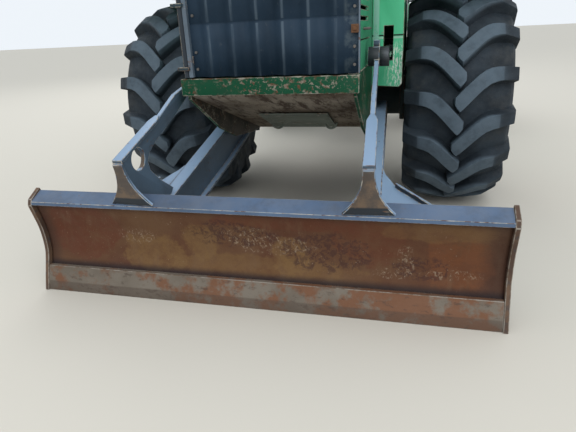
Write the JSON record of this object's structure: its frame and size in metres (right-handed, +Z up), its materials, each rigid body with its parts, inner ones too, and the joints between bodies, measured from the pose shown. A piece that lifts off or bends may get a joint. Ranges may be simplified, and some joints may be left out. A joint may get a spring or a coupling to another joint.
{
  "type": "grapple skidder",
  "caption": "Articulated forestry skidder with a lifting front blade, cab, lugged tyres, rear arch, boom and a turning log grapple.",
  "frame": {"origin": "on the ground, under the middle of the machine's overall length and width", "axes": "+X to the machine's left, +Y to its rear, +Z up; the blade is at -Y"},
  "size_m": [2.876, 7.1744, 3],
  "materials": {
    "machine_green": "worn gloss paint",
    "guard_black": "worn dark paint",
    "arm_blue_grey": "worn and scuffed paint",
    "blade_rust": "worn to rusty steel",
    "edge_steel": "worn steel with rust",
    "axle_dark": "dusty dark casting",
    "belly_brown": "muddy plate",
    "engine_grey": "oily casting",
    "glass": "clear safety glass",
    "seat_black": "woven seat cloth",
    "console_black": "textured plastic",
    "lamp": "lamp housing and lens",
    "tyre": "dusty ribbed rubber",
    "rim_yellow": "painted steel rim",
    "rod_chrome": "ground and plated rod"
  },
  "bodies": {
    "front": {"front_frame": "machine_green", "belly_guard": "belly_brown", "front_axle": "axle_dark", "engine": "engine_grey", "cooling_pack": "engine_grey", "hood": "machine_green", "stacks": "guard_black", "front_fenders": "machine_green", "steps": "guard_black", "cab_frame": "machine_green", "cab_roof": "machine_green", "cab_glass": "glass", "window_guards": "guard_black", "seat": "seat_black", "controls": "console_black", "lamps": "lamp"},
    "rear": {"rear_frame": "machine_green", "rear_axle": "axle_dark", "rear_tank": "machine_green", "arch": "machine_green"},
    "blade": {"blade": "blade_rust", "cutting_edge": "edge_steel", "blade_arms": "arm_blue_grey"},
    "blade_barrels": {"blade_barrels": "guard_black"},
    "blade_rods": {"blade_rods": "rod_chrome"},
    "grille": {"grille": "guard_black"},
    "engine_door_left": {"engine_door_left": "machine_green"},
    "engine_door_right": {"engine_door_right": "machine_green"},
    "cab_door_left": {"cab_door_left": "machine_green", "door_glass_left": "glass"},
    "cab_door_right": {"cab_door_right": "machine_green", "door_glass_right": "glass"},
    "wheel_front_left": {"tyre_front_left": "tyre", "rim_front_left": "rim_yellow"},
    "wheel_front_right": {"tyre_front_right": "tyre", "rim_front_right": "rim_yellow"},
    "wheel_rear_left": {"tyre_rear_left": "tyre", "rim_rear_left": "rim_yellow"},
    "wheel_rear_right": {"tyre_rear_right": "tyre", "rim_rear_right": "rim_yellow"},
    "steer_barrel_left": {"steer_barrel_left": "guard_black"},
    "steer_rod_left": {"steer_rod_left": "rod_chrome"},
    "steer_barrel_right": {"steer_barrel_right": "guard_black"},
    "steer_rod_right": {"steer_rod_right": "rod_chrome"},
    "boom": {"boom": "guard_black"},
    "boom_barrels": {"boom_barrels": "guard_black"},
    "boom_rods": {"boom_rods": "rod_chrome"},
    "grapple_link": {"grapple_link": "guard_black"},
    "grapple_head": {"grapple_head": "guard_black"},
    "tong_left": {"tong_left": "guard_black"},
    "tong_right": {"tong_right": "guard_black"},
    "tong_barrel": {"tong_barrel": "guard_black"},
    "tong_rod": {"tong_rod": "rod_chrome"}
  },
  "joints": [
    {"name": "articulation", "type": "hinge", "parent": "front", "child": "rear", "pos_m": [0, 0.085, 0.9], "axis": [0, 0, 1], "range_deg": [-45, 45]},
    {"name": "blade_lift", "type": "hinge", "parent": "front", "child": "blade", "pos_m": [0, -1.735, 0.71], "axis": [-1, 0, 0], "range_deg": [0, 16]},
    {"name": "wheel_front_left", "type": "hinge", "parent": "front", "child": "wheel_front_left", "pos_m": [1.081, -1.511, 0.8], "axis": [1, 0, 0], "continuous": true},
    {"name": "wheel_front_right", "type": "hinge", "parent": "front", "child": "wheel_front_right", "pos_m": [-1.081, -1.511, 0.8], "axis": [1, 0, 0], "continuous": true},
    {"name": "wheel_rear_left", "type": "hinge", "parent": "rear", "child": "wheel_rear_left", "pos_m": [1.081, 1.889, 0.8], "axis": [1, 0, 0], "continuous": true},
    {"name": "wheel_rear_right", "type": "hinge", "parent": "rear", "child": "wheel_rear_right", "pos_m": [-1.081, 1.889, 0.8], "axis": [1, 0, 0], "continuous": true},
    {"name": "grille_swing", "type": "hinge", "parent": "front", "child": "grille", "pos_m": [-0.462, -3.001, 1.4], "axis": [0, 0, 1], "range_deg": [-105, 0]},
    {"name": "engine_door_left_lift", "type": "hinge", "parent": "front", "child": "engine_door_left", "pos_m": [0.495, -2.565, 1.8617], "axis": [0, -1, 0], "range_deg": [0, 75]},
    {"name": "engine_door_right_lift", "type": "hinge", "parent": "front", "child": "engine_door_right", "pos_m": [-0.495, -2.565, 1.8617], "axis": [0, 1, 0], "range_deg": [0, 75]},
    {"name": "cab_door_left_swing", "type": "hinge", "parent": "front", "child": "cab_door_left", "pos_m": [0.698, -0.9347, 2], "axis": [0, 0, -1], "range_deg": [0, 80]},
    {"name": "cab_door_right_swing", "type": "hinge", "parent": "front", "child": "cab_door_right", "pos_m": [-0.698, -0.9347, 2], "axis": [0, 0, 1], "range_deg": [0, 80]},
    {"name": "blade_cylinder_swing", "type": "hinge", "parent": "front", "child": "blade_barrels", "pos_m": [0, -1.315, 1.16], "axis": [-1, 0, 0], "range_deg": [-1, 12]},
    {"name": "blade_cylinder_stroke", "type": "slide", "parent": "blade_barrels", "child": "blade_rods", "axis": [0, 0.9998, -0.0174], "range_m": [-0.01, 0.15]},
    {"name": "steer_swing_left", "type": "hinge", "parent": "front", "child": "steer_barrel_left", "pos_m": [0.28, -0.465, 0.9], "axis": [0, 0, 1], "range_deg": [-21, 21]},
    {"name": "steer_stroke_left", "type": "slide", "parent": "steer_barrel_left", "child": "steer_rod_left", "axis": [0, 1, 0], "range_m": [-0.23, 0.23]},
    {"name": "steer_swing_right", "type": "hinge", "parent": "front", "child": "steer_barrel_right", "pos_m": [-0.28, -0.465, 0.9], "axis": [0, 0, 1], "range_deg": [-21, 21]},
    {"name": "steer_stroke_right", "type": "slide", "parent": "steer_barrel_right", "child": "steer_rod_right", "axis": [0, 1, 0], "range_m": [-0.23, 0.23]},
    {"name": "boom_lift", "type": "hinge", "parent": "rear", "child": "boom", "pos_m": [0, 2.175, 2.7], "axis": [1, 0, 0], "range_deg": [-20, 30]},
    {"name": "boom_cylinder_swing", "type": "hinge", "parent": "rear", "child": "boom_barrels", "pos_m": [0, 2.125, 1.64], "axis": [1, 0, 0], "range_deg": [-3, 4]},
    {"name": "boom_cylinder_stroke", "type": "slide", "parent": "boom_barrels", "child": "boom_rods", "axis": [0, 0.3725, 0.928], "range_m": [-0.12, 0.18]},
    {"name": "grapple_swing", "type": "hinge", "parent": "boom", "child": "grapple_link", "pos_m": [0, 3.35051, 2.3518], "axis": [-1, 0, 0], "range_deg": [-45, 25]},
    {"name": "grapple_turn", "type": "hinge", "parent": "grapple_link", "child": "grapple_head", "pos_m": [0, 3.35051, 1.9418], "axis": [0, 0, 1], "continuous": true},
    {"name": "tong_left_open", "type": "hinge", "parent": "grapple_head", "child": "tong_left", "pos_m": [0.28, 3.35051, 1.5018], "axis": [0, -1, 0], "range_deg": [0, 50]},
    {"name": "tong_right_open", "type": "hinge", "parent": "grapple_head", "child": "tong_right", "pos_m": [-0.28, 3.35051, 1.5018], "axis": [0, 1, 0], "range_deg": [0, 50]},
    {"name": "tong_cylinder_swing", "type": "hinge", "parent": "tong_left", "child": "tong_barrel", "pos_m": [0.58, 3.35051, 1.6618], "axis": [0, -1, 0], "range_deg": [-50, 0]},
    {"name": "tong_cylinder_stroke", "type": "slide", "parent": "tong_barrel", "child": "tong_rod", "axis": [1, 0, 0], "range_m": [0, 0.46]}
  ],
  "couplings": [
    {"joint": "blade_cylinder_swing", "follows": "blade_lift", "ratio": 0.6555},
    {"joint": "blade_cylinder_stroke", "follows": "blade_lift", "m_per_rad": 0.4841},
    {"joint": "steer_swing_left", "follows": "articulation", "ratio": 0.4465},
    {"joint": "steer_swing_right", "follows": "articulation", "ratio": 0.4465},
    {"joint": "steer_stroke_left", "follows": "articulation", "m_per_rad": 0.2753},
    {"joint": "steer_stroke_right", "follows": "articulation", "m_per_rad": -0.2753},
    {"joint": "boom_cylinder_swing", "follows": "boom_lift", "ratio": 0.062},
    {"joint": "boom_cylinder_stroke", "follows": "boom_lift", "m_per_rad": 0.3374},
    {"joint": "tong_right_open", "follows": "tong_left_open", "ratio": 1},
    {"joint": "tong_cylinder_swing", "follows": "tong_left_open", "ratio": -1},
    {"joint": "tong_cylinder_stroke", "follows": "tong_left_open", "m_per_rad": 0.5265}
  ]
}
